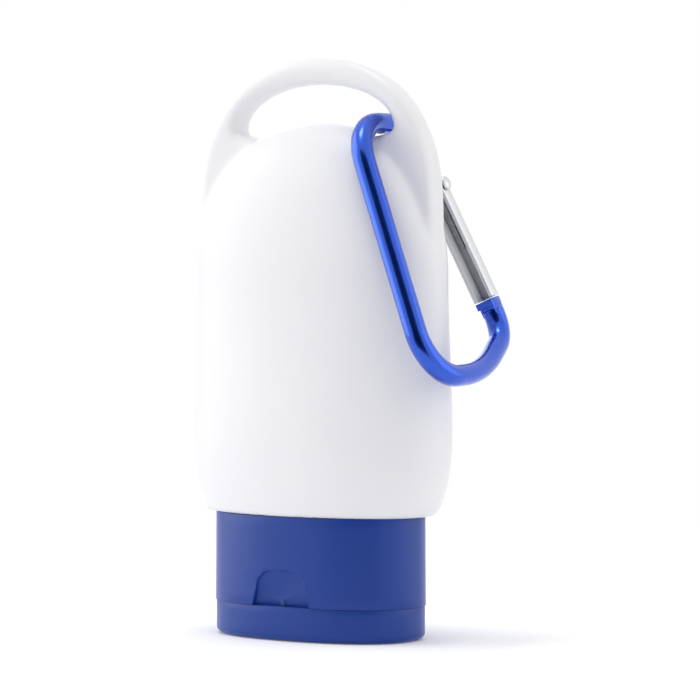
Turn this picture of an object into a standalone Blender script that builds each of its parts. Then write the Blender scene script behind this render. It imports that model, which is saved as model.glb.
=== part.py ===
# Clip-on sunscreen bottle: an oval squeeze bottle that stands on its flip-top cap,
# with a carrying loop moulded over its dome and a small carabiner hooked through the loop.
# Metres, +Z up. The origin is the centre of the lid's flat outer face, on which it stands.
# The label side and the cap's thumb notch face -Y.

import math

import bmesh
import bpy
from mathutils import Matrix, Vector

# Clearances and cutting overrun
piece_gap = 0.0003
cut_overrun = 0.002

# Bottle: overall height, and the levels of its outline above the stand face
bottle_top_height = 0.105
widest_height = 0.037
cap_rim_height = 0.022

# Bottle: the dome, from its top down to the shoulder
dome_above_opening_centre = 0.0013
dome_rise = 0.0281

# Bottle: half sizes of the oval at the widest level and at the shoulder
widest_half_width = 0.027
widest_half_depth = 0.0138
shoulder_half_width = 0.0263
shoulder_half_depth = 0.0128
oval_power_share = 2.1
dome_width_power_share = 2.3
dome_depth_power_share = 2.0

# Bottle: rounded lower edge, wall and neck
lower_edge_turn_deg = 78.5
lower_edge_inset_width = 0.0052
lower_edge_inset_depth = 0.0009
bottle_wall = 0.0011
neck_wall = 0.001
neck_bead_rise = 0.0004
neck_bead_height = 0.0012
neck_bead_below_base = 0.0035

# Carrying loop over the dome
loop_half_depth = 0.00275
loop_edge_radius = 0.0022
loop_half_width = 0.0258
loop_crown_thickness = 0.0052
loop_spring_above_shoulder = 0.009
loop_foot_above_shoulder = 0.001
loop_power_share = 2.78
opening_half_width = 0.0169
opening_rise = 0.008
opening_drop = 0.0022

# Cap: outer oval, parting line, walls
cap_half_width = 0.0208
cap_half_depth = 0.0127
cap_power_share = 2.3
cap_wall = 0.0013
cap_draft = 0.0001
parting_height = 0.0061
deck_thickness = 0.0015
deck_step = 0.0011
cap_rim_round = 0.0002

# Cap: round skirt over the neck, plug seal, ribs
skirt_wall = 0.0012
skirt_clearance = 0.0012
skirt_below_base = 0.0032
plug_seal_wall = 0.001
plug_seal_length = 0.004
rib_thickness = 0.001
rib_below_skirt = 0.002
rib_angles_deg = (0, 30, 150, 180, 210, 330)

# Cap: spout
spout_radius = 0.0029
spout_length = 0.0016
orifice_radius = 0.0015

# Cap: thumb notch in the front wall, with its small catch
notch_base_width = 0.0132
notch_top_width = 0.0108
notch_height = 0.0065
notch_corner_radius = 0.0034
notch_depth_at_base = 0.0015
notch_depth_at_top = 0.0005
notch_backing_half_width = 0.0074
notch_backing_height = 0.0082
catch_width = 0.0007
catch_height = 0.0012
catch_proud = 0.0004

# Lid
lid_inset = 0.00015
lid_wall = 0.0012
lid_floor = 0.0013
lid_edge_radius = 0.0012
lid_pin_radius = 0.00115
lid_ring_wall = 0.0008

# Film hinge at the rear of the cap
hinge_half_width = 0.006
hinge_pocket_depth = 0.0008
hinge_half_height = 0.003
hinge_thickness = 0.0005
hinge_film_thickness = 0.00025
hinge_film_half_height = 0.0005

# Carabiner: rod and the outline of its bent ring, whose base slopes up to the nose in two runs
rod_radius = 0.002
ring_top_width = 0.0172
ring_spine_flare_deg = 6.1
ring_gate_flare_deg = 9.0
ring_base_slope_deg = 1.5
ring_toe_slope_deg = 31.7
ring_toe_straight = 0.003
ring_nose_straight = 0.0007
ring_gate_top_bend_radius = 0.0072
ring_spine_top_bend_radius = 0.0088
ring_spine_bend_radius = 0.0077
ring_toe_bend_radius = 0.024
ring_nose_bend_radius = 0.0063

# Carabiner: where its top bend hangs in the loop, and how far it leans outwards
hang_side = 0.0129
hang_back = 0.00035
lean_deg = 23.7

# Carabiner: hinge tab, gate and nose
pin_drop = 0.0126
tab_thickness = 0.0022
tab_depth = 0.0027
tab_above_pin = 0.0026
gate_width = 0.004
gate_depth = 0.0029
gate_wall = 0.0006
gate_corner_radius = 0.0007
gate_web_below_pin = 0.0021
gate_length = 0.0221
nose_head_thickness = 0.0012
nose_head_width = 0.0034
nose_head_depth = 0.0033
nose_neck_length = 0.0006
nose_neck_width = 0.003
nose_neck_depth = 0.003
nose_lug = 0.0006

# Carabiner: rivet and wire spring
rivet_shank_radius = 0.0007
rivet_head_radius = 0.0013
rivet_head_height = 0.0006
spring_wire_radius = 0.0003
spring_length = 0.0105

# Smoothness of the round forms
oval_count = 56
hollow_count = 40
lower_steps = 9
waist_steps = 8
dome_steps = 14
hollow_level_share = 0.6
cap_count = 64
round_count = 32
loop_arc_steps = 14
loop_foot_steps = 7
corner_steps = 4
notch_corner_steps = 7
rod_sides = 16
bend_steps = 9
small_sides = 16


def clear_scene():
    for item in list(bpy.data.objects):
        bpy.data.objects.remove(item, do_unlink=True)


def make_material(name, colour, roughness, metallic):
    material = bpy.data.materials.new(name)
    material.use_nodes = True
    shader = material.node_tree.nodes["Principled BSDF"]
    shader.inputs["Base Color"].default_value = (*colour, 1.0)
    shader.inputs["Roughness"].default_value = roughness
    shader.inputs["Metallic"].default_value = metallic
    return material


def add_object(name, bm, material=None, parent=None, sharp_deg=35):
    bmesh.ops.recalc_face_normals(bm, faces=bm.faces)
    mesh = bpy.data.meshes.new(name)
    bm.to_mesh(mesh)
    bm.free()
    mesh.shade_smooth()
    mesh.set_sharp_from_angle(angle=math.radians(sharp_deg))
    item = bpy.data.objects.new(name, mesh)
    bpy.context.scene.collection.objects.link(item)
    if material:
        mesh.materials.append(material)
    if parent:
        item.parent = parent
    return item


def add_empty(name, location, rotation=(0, 0, 0), parent=None):
    item = bpy.data.objects.new(name, None)
    bpy.context.scene.collection.objects.link(item)
    item.location = location
    item.rotation_euler = rotation
    item.parent = parent
    return item


def add_tool(name, bm, parent=None):
    item = add_object(name, bm, parent=parent)
    item.hide_render = True
    item.display_type = "WIRE"
    return item


def combine(target, tool, operation):
    modifier = target.modifiers.new(tool.name, "BOOLEAN")
    modifier.object = tool
    modifier.operation = operation
    modifier.solver = "EXACT"


# Sections, lofts and simple solids

def oval_section(half_width, half_depth, power, count, height):
    points = []
    for i in range(count):
        turn = 2 * math.pi * i / count
        c = math.cos(turn)
        s = math.sin(turn)
        x = half_width * math.copysign(abs(c) ** (2 / power), c)
        y = half_depth * math.copysign(abs(s) ** (2 / power), s)
        points.append(Vector((x, y, height)))
    return points


def circle_section(radius, count, height):
    return oval_section(radius, radius, 2, count, height)


def loft(bm, sections, close_first=True, close_last=True):
    rings = [[bm.verts.new(p) for p in section] for section in sections]
    for low, high in zip(rings, rings[1:]):
        count = len(low)
        for i in range(count):
            j = (i + 1) % count
            bm.faces.new((low[i], low[j], high[j], high[i]))
    if close_first:
        bm.faces.new(list(reversed(rings[0])))
    if close_last:
        bm.faces.new(rings[-1])
    return rings


def close_with_point(bm, ring, point):
    tip = bm.verts.new(point)
    for i in range(len(ring)):
        bm.faces.new((ring[i], ring[(i + 1) % len(ring)], tip))


def oval_block(half_width, half_depth, power, count, low, high):
    bm = bmesh.new()
    loft(bm, [oval_section(half_width, half_depth, power, count, z) for z in (low, high)])
    return bm


def cylinder(radius, low, high, count=round_count):
    return oval_block(radius, radius, 2, count, low, high)


def turned(profile, count=round_count):
    bm = bmesh.new()
    loft(bm, [circle_section(radius, count, height) for radius, height in profile])
    return bm


def tube(outer_radius, inner_radius, low, high, count=round_count):
    bm = bmesh.new()
    levels = ((outer_radius, low), (outer_radius, high), (inner_radius, high), (inner_radius, low))
    rings = loft(bm, [circle_section(r, count, z) for r, z in levels], False, False)
    for i in range(count):
        j = (i + 1) % count
        bm.faces.new((rings[-1][i], rings[-1][j], rings[0][j], rings[0][i]))
    return bm


def box(low, high):
    bm = bmesh.new()
    section = [(low[0], low[1]), (high[0], low[1]), (high[0], high[1]), (low[0], high[1])]
    loft(bm, [[Vector((x, y, z)) for x, y in section] for z in (low[2], high[2])])
    return bm


def transformed(bm, matrix):
    bmesh.ops.transform(bm, matrix=matrix, verts=bm.verts)
    return bm


def rounded_rectangle(half_x, half_y, radius, steps=corner_steps):
    # Corner centres, anticlockwise from +x +y
    points = []
    for quarter, (sx, sy) in enumerate(((1, 1), (-1, 1), (-1, -1), (1, -1))):
        for k in range(steps + 1):
            turn = math.radians(90) * (quarter + k / steps)
            x = sx * (half_x - radius) + radius * math.cos(turn)
            y = sy * (half_y - radius) + radius * math.sin(turn)
            points.append((x, y))
    return points


# Bottle

bottle_base_height = cap_rim_height + piece_gap
skirt_inner_radius = cap_half_depth - cap_wall - skirt_clearance - skirt_wall
skirt_outer_radius = skirt_inner_radius + skirt_wall
neck_radius = skirt_inner_radius - piece_gap - neck_bead_rise
opening_centre_height = bottle_top_height - loop_crown_thickness - opening_rise
dome_top_height = opening_centre_height + dome_above_opening_centre
shoulder_height = dome_top_height - dome_rise
loop_spring_height = shoulder_height + loop_spring_above_shoulder
loop_foot_height = shoulder_height + loop_foot_above_shoulder
lower_edge_rise = (widest_height - bottle_base_height) / math.sin(math.radians(lower_edge_turn_deg))


def body_levels(inset, share=1.0):
    # Level by level from the base to just under the dome's top: height, half width, half depth
    levels = []
    steps = max(3, round(lower_steps * share))
    base = bottle_base_height + inset
    turn_at_base = math.asin((widest_height - base) / lower_edge_rise)
    for k in range(steps):
        turn = turn_at_base * (1 - k / steps)
        drop = 1 - math.cos(turn)
        levels.append((
            widest_height - lower_edge_rise * math.sin(turn),
            widest_half_width - lower_edge_inset_width * drop - inset,
            widest_half_depth - lower_edge_inset_depth * drop - inset,
        ))
    steps = max(3, round(waist_steps * share))
    for k in range(steps):
        blend = (1 - math.cos(math.pi * k / steps)) / 2
        levels.append((
            widest_height + (shoulder_height - widest_height) * k / steps,
            widest_half_width + (shoulder_half_width - widest_half_width) * blend - inset,
            widest_half_depth + (shoulder_half_depth - widest_half_depth) * blend - inset,
        ))
    steps = max(4, round(dome_steps * share))
    for k in range(steps):
        rise = math.sin(math.radians(90) * k / steps)
        levels.append((
            shoulder_height + (dome_top_height - inset - shoulder_height) * rise,
            (shoulder_half_width - inset) * math.sqrt(1 - rise ** dome_width_power_share),
            (shoulder_half_depth - inset) * math.sqrt(1 - rise ** dome_depth_power_share),
        ))
    return levels


def body_solid(inset, count, share=1.0):
    bm = bmesh.new()
    sections = [oval_section(a, b, oval_power_share, count, z) for z, a, b in body_levels(inset, share)]
    rings = loft(bm, sections, close_last=False)
    close_with_point(bm, rings[-1], (0, 0, dome_top_height - inset))
    return bm


def loop_outline(height):
    rise = (height - loop_spring_height) / (bottle_top_height - loop_spring_height)
    if rise <= 0:
        return loop_half_width
    return loop_half_width * math.sqrt(max(0, 1 - rise ** loop_power_share))


def loop_stations():
    # Pairs of points on the inner and outer outline, from the right foot over the top to the left foot
    foot_turn = -math.radians(50)
    turns = [foot_turn * (1 - k / loop_foot_steps) for k in range(loop_foot_steps)]
    turns += [math.radians(90) * k / loop_arc_steps for k in range(loop_arc_steps + 1)]
    pairs = []
    for turn in turns:
        s = math.sin(turn)
        inner_reach = opening_rise if s > 0 else opening_drop
        inner = (opening_half_width * math.cos(turn), opening_centre_height + inner_reach * s)
        if s > 0:
            height = opening_centre_height + (bottle_top_height - opening_centre_height) * s
        else:
            foot_drop = opening_centre_height - loop_foot_height
            height = opening_centre_height - foot_drop * s / math.sin(foot_turn)
        pairs.append((inner, (loop_outline(height), height)))
    mirrored = [((-i[0], i[1]), (-o[0], o[1])) for i, o in reversed(pairs[:-1])]
    return pairs + mirrored


def loop_solid():
    bm = bmesh.new()
    sections = []
    for inner, outer in loop_stations():
        a = Vector((inner[0], 0, inner[1]))
        b = Vector((outer[0], 0, outer[1]))
        centre = (a + b) / 2
        reach = (b - a).length / 2
        across = (b - a).normalized()
        outline = rounded_rectangle(reach, loop_half_depth, min(loop_edge_radius, reach))
        sections.append([centre + across * u + Vector((0, v, 0)) for u, v in outline])
    loft(bm, sections)
    return bm


def neck_solid():
    end = parting_height + deck_thickness + piece_gap
    bead_top = bottle_base_height - neck_bead_below_base
    bead_low = bead_top - neck_bead_height
    bead_radius = neck_radius + neck_bead_rise
    profile = (
        (neck_radius - neck_bead_rise, end),
        (neck_radius, end + neck_bead_rise),
        (neck_radius, bead_low - neck_bead_rise),
        (bead_radius, bead_low),
        (bead_radius, bead_top),
        (neck_radius, bead_top + neck_bead_rise),
        (neck_radius, bottle_base_height + bottle_wall / 2),
    )
    return turned(profile)


def make_bottle():
    plastic = make_material("white_polyethylene", (0.86, 0.86, 0.88), 0.35, 0.0)
    bottle = add_object("bottle", body_solid(0, oval_count), plastic)
    combine(bottle, add_tool("cut_loop", loop_solid()), "UNION")
    combine(bottle, add_tool("cut_neck", neck_solid()), "UNION")
    combine(bottle, add_tool("cut_inside", body_solid(bottle_wall, hollow_count, hollow_level_share)), "DIFFERENCE")
    bore = cylinder(neck_radius - neck_wall, parting_height, bottle_base_height + bottle_wall + cut_overrun)
    combine(bottle, add_tool("cut_bore", bore), "DIFFERENCE")
    return bottle


# Cap base

deck_top = parting_height + deck_thickness
deck_face = parting_height - deck_step
skirt_length = bottle_base_height - skirt_below_base - deck_top
rib_length = skirt_length - rib_below_skirt
plug_outer_radius = neck_radius - neck_wall - piece_gap
hinge_axis_height = parting_height - piece_gap / 2
hinge_axis_depth = cap_half_depth - hinge_thickness / 2


def oval_reach(half_width, half_depth, power, turn):
    c = abs(math.cos(turn)) / half_width
    s = abs(math.sin(turn)) / half_depth
    return (c ** power + s ** power) ** (-1 / power)


def cap_block(inset, low, high):
    return oval_block(cap_half_width - inset, cap_half_depth - inset, cap_power_share, cap_count, low, high)


def cap_outer():
    bm = bmesh.new()
    levels = (
        (0, parting_height),
        (cap_draft, cap_rim_height - cap_rim_round),
        (cap_draft + cap_rim_round, cap_rim_height),
    )
    sections = []
    for inset, height in levels:
        half = (cap_half_width - inset, cap_half_depth - inset)
        sections.append(oval_section(*half, cap_power_share, cap_count, height))
    loft(bm, sections)
    return bm


def rib_solid(angle_deg):
    turn = math.radians(angle_deg)
    inner = skirt_outer_radius - skirt_wall / 2
    middle = cap_half_width - cap_wall / 2, cap_half_depth - cap_wall / 2
    outer = oval_reach(*middle, cap_power_share, turn)
    half = rib_thickness / 2
    low = (inner, -half, deck_top - deck_thickness / 2)
    high = (outer, half, deck_top + rib_length)
    return transformed(box(low, high), Matrix.Rotation(turn, 4, "Z"))


def notch_tool():
    # Outline in the front wall's plane, wider at the parting line, with rounded upper corners
    low = parting_height - cut_overrun
    top = parting_height + notch_height
    slope = (notch_base_width - notch_top_width) / 2 / notch_height
    half_at_low = notch_base_width / 2 + slope * cut_overrun
    outline = [(-half_at_low, low), (half_at_low, low)]
    for side in (1, -1):
        for k in range(notch_corner_steps + 1):
            turn = math.radians(90) * (k / notch_corner_steps)
            if side < 0:
                turn = math.radians(90) - turn
            x = side * (notch_top_width / 2 - notch_corner_radius + notch_corner_radius * math.cos(turn))
            z = top - notch_corner_radius + notch_corner_radius * math.sin(turn)
            outline.append((x, z))
    front = -cap_half_depth - cut_overrun
    bm = bmesh.new()
    sections = []
    for at_back in (False, True):
        section = []
        for x, z in outline:
            up = (z - parting_height) / notch_height
            depth = notch_depth_at_base + (notch_depth_at_top - notch_depth_at_base) * up
            section.append(Vector((x, -cap_half_depth + depth if at_back else front, z)))
        sections.append(section)
    loft(bm, sections)
    return bm


def hinge_pocket():
    half = hinge_half_width + piece_gap
    rise = hinge_half_height + piece_gap
    low = (-half, cap_half_depth - hinge_pocket_depth, hinge_axis_height - rise)
    high = (half, cap_half_depth + cut_overrun, hinge_axis_height + rise)
    return box(low, high)


def make_cap_base(plastic, pivot):
    base = add_object("cap_base", cap_outer(), plastic, pivot)
    combine(base, add_tool("cut_cap_inside", cap_block(cap_wall, deck_top, cap_rim_height + cut_overrun), pivot),
            "DIFFERENCE")
    step = cap_block(cap_wall + piece_gap, deck_face, parting_height + deck_thickness / 2)
    combine(base, add_tool("cut_deck_step", step, pivot), "UNION")
    into_deck = deck_top - deck_thickness / 2
    skirt = tube(skirt_outer_radius, skirt_inner_radius, into_deck, deck_top + skirt_length)
    combine(base, add_tool("cut_skirt", skirt, pivot), "UNION")
    seal = tube(plug_outer_radius, plug_outer_radius - plug_seal_wall, into_deck, deck_top + plug_seal_length)
    combine(base, add_tool("cut_plug_seal", seal, pivot), "UNION")
    for angle in rib_angles_deg:
        combine(base, add_tool(f"cut_rib_{angle}", rib_solid(angle), pivot), "UNION")
    backing_low = (-notch_backing_half_width, -cap_half_depth + cap_wall / 2, into_deck)
    backing_high = (notch_backing_half_width, -skirt_outer_radius + skirt_wall / 2, deck_top + notch_backing_height)
    combine(base, add_tool("cut_notch_backing", box(backing_low, backing_high), pivot), "UNION")
    combine(base, add_tool("cut_notch", notch_tool(), pivot), "DIFFERENCE")
    catch_back = -cap_half_depth + notch_depth_at_base + catch_proud
    catch_low = (-catch_width / 2, catch_back - 2 * catch_proud, parting_height)
    catch_high = (catch_width / 2, catch_back, parting_height + catch_height)
    combine(base, add_tool("cut_catch", box(catch_low, catch_high), pivot), "UNION")
    spout = cylinder(spout_radius, deck_face - spout_length, into_deck)
    combine(base, add_tool("cut_spout", spout, pivot), "UNION")
    orifice = cylinder(orifice_radius, deck_face - spout_length - cut_overrun, deck_top + cut_overrun)
    combine(base, add_tool("cut_orifice", orifice, pivot), "DIFFERENCE")
    combine(base, add_tool("cut_hinge_pocket", hinge_pocket(), pivot), "DIFFERENCE")
    return base


# Lid, on its hinge axis at the rear of the parting line

lid_top = parting_height - piece_gap


def lid_outer():
    bm = bmesh.new()
    half = cap_half_width - lid_inset, cap_half_depth - lid_inset
    sections = []
    for k in range(corner_steps + 1):
        turn = math.radians(90) * k / corner_steps
        inset = lid_edge_radius * (1 - math.sin(turn))
        height = lid_edge_radius * (1 - math.cos(turn))
        sections.append(oval_section(half[0] - inset, half[1] - inset, cap_power_share, cap_count, height))
    sections.append(oval_section(*half, cap_power_share, cap_count, lid_top))
    loft(bm, sections)
    return bm


def make_lid(plastic, pivot):
    back = Matrix.Translation((0, -hinge_axis_depth, -hinge_axis_height))
    lid = add_object("cap_lid", transformed(lid_outer(), back), plastic, pivot)
    inside = cap_block(lid_inset + lid_wall, lid_floor, lid_top + cut_overrun)
    combine(lid, add_tool("cut_lid_inside", transformed(inside, back), pivot), "DIFFERENCE")
    into_floor = lid_floor / 2
    ring_inner = spout_radius + piece_gap
    ring = tube(ring_inner + lid_ring_wall, ring_inner, into_floor, deck_face - piece_gap)
    combine(lid, add_tool("cut_lid_ring", transformed(ring, back), pivot), "UNION")
    pin_top = deck_face - piece_gap
    tip = lid_pin_radius / 2
    pin = turned(((lid_pin_radius, into_floor), (lid_pin_radius, pin_top - tip), (tip, pin_top)), small_sides)
    combine(lid, add_tool("cut_lid_pin", transformed(pin, back), pivot), "UNION")
    combine(lid, add_tool("cut_lid_pocket", transformed(hinge_pocket(), back), pivot), "DIFFERENCE")
    return lid


def make_lid_hinge(plastic, pivot):
    # Side outline of the strap about the hinge axis: two pads joined by a thin film
    pad = hinge_thickness / 2
    film = hinge_film_thickness / 2
    outline = [
        (pad, -hinge_half_height), (pad, -hinge_film_half_height), (film, 0),
        (pad, hinge_film_half_height), (pad, hinge_half_height),
    ]
    outline += [(-y, z) for y, z in reversed(outline)]
    bm = bmesh.new()
    loft(bm, [[Vector((x, y, z)) for y, z in outline] for x in (-hinge_half_width, hinge_half_width)])
    return add_object("lid_hinge", bm, plastic, pivot)


# Carabiner: its own plane is y across and z up, with x square to the ring

def bend_reach(before, after, radius):
    # Length of straight run that a bend takes up on each side of its corner
    return radius / math.tan(before.angle(after) / 2)


def bent_path(corners, radii):
    # A path of straight runs through the corners, each corner rounded by its radius
    points = [corners[0]]
    for before, corner, after, radius in zip(corners, corners[1:], corners[2:], radii):
        u = (before - corner).normalized()
        v = (after - corner).normalized()
        reach = bend_reach(u, v, radius)
        centre = corner + (u + v).normalized() * radius / math.sin(u.angle(v) / 2)
        start = corner + u * reach - centre
        end = corner + v * reach - centre
        sweep = start.angle(end)
        for k in range(bend_steps + 1):
            t = k / bend_steps
            part = math.sin((1 - t) * sweep) / math.sin(sweep), math.sin(t * sweep) / math.sin(sweep)
            points.append(centre + start * part[0] + end * part[1])
    points.append(corners[-1])
    return points


def swept_rod(points, radius, sides, side_axis):
    bm = bmesh.new()
    sections = []
    for i, point in enumerate(points):
        ahead = points[min(i + 1, len(points) - 1)] - point
        behind = point - points[max(i - 1, 0)]
        direction = (ahead.normalized() + behind.normalized()).normalized()
        other = direction.cross(side_axis).normalized()
        section = []
        for k in range(sides):
            turn = 2 * math.pi * k / sides
            section.append(point + side_axis * radius * math.cos(turn) + other * radius * math.sin(turn))
        sections.append(section)
    loft(bm, sections)
    return bm


gate_tilt = math.radians(ring_gate_flare_deg)
pin_place = Vector((0, ring_top_width / 2 + pin_drop * math.tan(gate_tilt), -pin_drop))
nose_shoulder = gate_length + piece_gap + nose_head_thickness + nose_neck_length


def ring_corners():
    # Down the gate's line to the nose, then along the toe and the base to meet the spine
    top = ring_top_width / 2
    spine_flare = math.radians(ring_spine_flare_deg)
    base_slope = math.radians(ring_base_slope_deg)
    toe_slope = math.radians(ring_toe_slope_deg)
    down_gate = Vector((0, math.sin(gate_tilt), -math.cos(gate_tilt)))
    down_spine = Vector((0, -math.sin(spine_flare), -math.cos(spine_flare)))
    along_toe = Vector((0, -math.cos(toe_slope), -math.sin(toe_slope)))
    along_base = Vector((0, -math.cos(base_slope), -math.sin(base_slope)))
    nose_reach = bend_reach(-down_gate, along_toe, ring_nose_bend_radius)
    toe_reach = bend_reach(-along_toe, along_base, ring_toe_bend_radius)
    gate_top = Vector((0, top, 0))
    spine_top = Vector((0, -top, 0))
    nose = pin_place + down_gate * (nose_shoulder + ring_nose_straight + nose_reach)
    toe = nose + along_toe * (nose_reach + ring_toe_straight + toe_reach)
    # Where the base's line meets the spine's
    to_toe = toe - spine_top
    across = down_spine.y * along_base.z - down_spine.z * along_base.y
    spine_base = spine_top + down_spine * (to_toe.y * along_base.z - to_toe.z * along_base.y) / across
    return gate_top, spine_top, spine_base, toe, nose


def gate_frame():
    return Matrix.Translation(pin_place) @ Matrix.Rotation(gate_tilt, 4, "X")


def tab_solid():
    # Flat tab at the end of the rod, rounded about the pin
    half = tab_depth / 2
    outline = [(half, tab_above_pin), (-half, tab_above_pin)]
    for k in range(2 * corner_steps + 1):
        turn = math.radians(180) * (1 + k / (2 * corner_steps))
        outline.append((half * math.cos(turn), half * math.sin(turn)))
    bm = bmesh.new()
    loft(bm, [[Vector((x, y, z)) for y, z in outline] for x in (-tab_thickness / 2, tab_thickness / 2)])
    return bm


def nose_solid():
    # Neck milled from the rod and a head with a small lug on the ring's inner side
    head_top = -gate_length - piece_gap
    neck_top = head_top - nose_head_thickness
    neck_half = nose_neck_depth / 2
    head_half = nose_head_depth / 2
    neck_low = -nose_shoulder - rod_radius / 2
    neck = box((-nose_neck_width / 2, -neck_half, neck_low), (nose_neck_width / 2, neck_half, head_top))
    head_low = (-nose_head_width / 2, -head_half - nose_lug / 2, neck_top)
    head_high = (nose_head_width / 2, head_half - nose_lug / 2, head_top)
    return neck, box(head_low, head_high)


def make_carabiner_body(metal, pivot):
    gate_top, spine_top, spine_base, toe, nose = ring_corners()
    rod_start = gate_frame() @ Vector((0, 0, gate_depth / 2 + piece_gap))
    rod_end = gate_frame() @ Vector((0, 0, -nose_shoulder))
    corners = [rod_start, gate_top, spine_top, spine_base, toe, nose, rod_end]
    radii = [ring_gate_top_bend_radius, ring_spine_top_bend_radius, ring_spine_bend_radius]
    radii += [ring_toe_bend_radius, ring_nose_bend_radius]
    path = bent_path(corners, radii)
    body = add_object("carabiner_body", swept_rod(path, rod_radius, rod_sides, Vector((1, 0, 0))), metal, pivot)
    frame = gate_frame()
    combine(body, add_tool("cut_tab", transformed(tab_solid(), frame), pivot), "UNION")
    neck, head = nose_solid()
    combine(body, add_tool("cut_nose_neck", transformed(neck, frame), pivot), "UNION")
    combine(body, add_tool("cut_nose_head", transformed(head, frame), pivot), "UNION")
    across = Matrix.Rotation(math.radians(90), 4, "Y")
    hole = cylinder(rivet_shank_radius + piece_gap, -rod_radius, rod_radius, small_sides)
    combine(body, add_tool("cut_pin_hole", transformed(hole, frame @ across), pivot), "DIFFERENCE")
    return body


def gate_side_outline(overrun):
    # Side view of the gate: square at its free end, round about the pin
    half = gate_depth / 2
    outline = [(-half - overrun, -gate_length - overrun), (half + overrun, -gate_length - overrun)]
    for k in range(2 * corner_steps + 1):
        turn = math.radians(180) * k / (2 * corner_steps)
        outline.append((half * math.cos(turn), half * math.sin(turn)))
    return outline


def make_gate(metal, pivot):
    # Folded channel, open towards the spine, whose sides run on as round ears about the pin
    half = gate_width / 2
    front = -gate_depth / 2
    back = gate_depth / 2
    inner = half - gate_wall
    bm = bmesh.new()
    outline = [(inner, front), (half, front)]
    for side in (1, -1):
        for k in range(corner_steps + 1):
            turn = math.radians(90) * (k / corner_steps)
            if side < 0:
                turn = math.radians(90) - turn
            x = side * (half - gate_corner_radius + gate_corner_radius * math.cos(turn))
            outline.append((x, back - gate_corner_radius + gate_corner_radius * math.sin(turn)))
    outline += [(-half, front), (-inner, front), (-inner, back - gate_wall), (inner, back - gate_wall)]
    loft(bm, [[Vector((x, y, z)) for x, y in outline] for z in (-gate_length, back)])
    gate = add_object("carabiner_gate", bm, metal, pivot)
    side = bmesh.new()
    loft(side, [[Vector((x, y, z)) for y, z in gate_side_outline(0)] for x in (-gate_width, gate_width)])
    combine(gate, add_tool("cut_gate_side", side, pivot), "INTERSECT")
    web = box((-inner, 0, -gate_web_below_pin), (inner, gate_depth, gate_depth))
    combine(gate, add_tool("cut_gate_web", web, pivot), "DIFFERENCE")
    across = Matrix.Rotation(math.radians(90), 4, "Y")
    hole = cylinder(rivet_shank_radius + piece_gap, -gate_width, gate_width, small_sides)
    combine(gate, add_tool("cut_gate_hole", transformed(hole, across), pivot), "DIFFERENCE")
    return gate


def make_rivet(metal, pivot):
    reach = gate_width / 2 + piece_gap
    chamfer = rivet_head_height / 2
    tip = reach + rivet_head_height
    profile = (
        (rivet_head_radius - chamfer, -tip), (rivet_head_radius, -tip + chamfer),
        (rivet_head_radius, -reach), (rivet_shank_radius, -reach),
        (rivet_shank_radius, reach), (rivet_head_radius, reach),
        (rivet_head_radius, tip - chamfer), (rivet_head_radius - chamfer, tip),
    )
    across = Matrix.Rotation(math.radians(90), 4, "Y")
    return add_object("gate_rivet", transformed(turned(profile, small_sides), across), metal, pivot)


def make_spring(metal, pivot):
    # Wire leaf spring from the tab's end down to the gate's back wall
    start_height = -tab_depth / 2 - piece_gap
    back = gate_depth / 2 - gate_wall - spring_wire_radius - piece_gap
    steps = 2 * bend_steps
    points = []
    for k in range(steps + 1):
        t = k / steps
        blend = (1 - math.cos(math.pi * min(1, t))) / 2
        points.append(Vector((0, back * blend, start_height - spring_length * t)))
    bm = swept_rod(points, spring_wire_radius, small_sides // 2, Vector((1, 0, 0)))
    return add_object("gate_spring", bm, metal, pivot)


def make_carabiner():
    blue = make_material("blue_anodised_aluminium", (0.03, 0.09, 0.6), 0.22, 0.9)
    bright = make_material("bright_aluminium", (0.8, 0.8, 0.82), 0.25, 1.0)
    steel = make_material("spring_steel", (0.45, 0.45, 0.47), 0.3, 1.0)
    wire_height = opening_floor_height(hang_side) + piece_gap + rod_radius
    hang_place = (hang_side, hang_back, wire_height)
    pivot = add_empty("carabiner_pivot", hang_place, (0, -math.radians(lean_deg), 0))
    gate_pivot = add_empty("gate_pivot", pin_place, (gate_tilt, 0, 0), pivot)
    make_carabiner_body(blue, pivot)
    make_gate(bright, gate_pivot)
    make_rivet(bright, gate_pivot)
    make_spring(steel, gate_pivot)


def opening_floor_height(side):
    return opening_centre_height - opening_drop * math.sqrt(1 - (side / opening_half_width) ** 2)


def make_cap():
    plastic = make_material("blue_polypropylene", (0.035, 0.07, 0.3), 0.4, 0.0)
    pivot = add_empty("cap_pivot", (0, 0, 0))
    hinge_place = (0, hinge_axis_depth, hinge_axis_height)
    lid_pivot = add_empty("lid_pivot", hinge_place, parent=pivot)
    make_cap_base(plastic, pivot)
    make_lid(plastic, lid_pivot)
    strap = make_lid_hinge(plastic, pivot)
    strap.location = hinge_place


def main():
    clear_scene()
    make_bottle()
    make_cap()
    make_carabiner()
    bpy.context.view_layer.update()


main()
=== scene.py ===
# Looks of the clip-on lotion bottle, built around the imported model
import math
import bmesh
import bpy
from mathutils import Matrix, Vector


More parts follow.
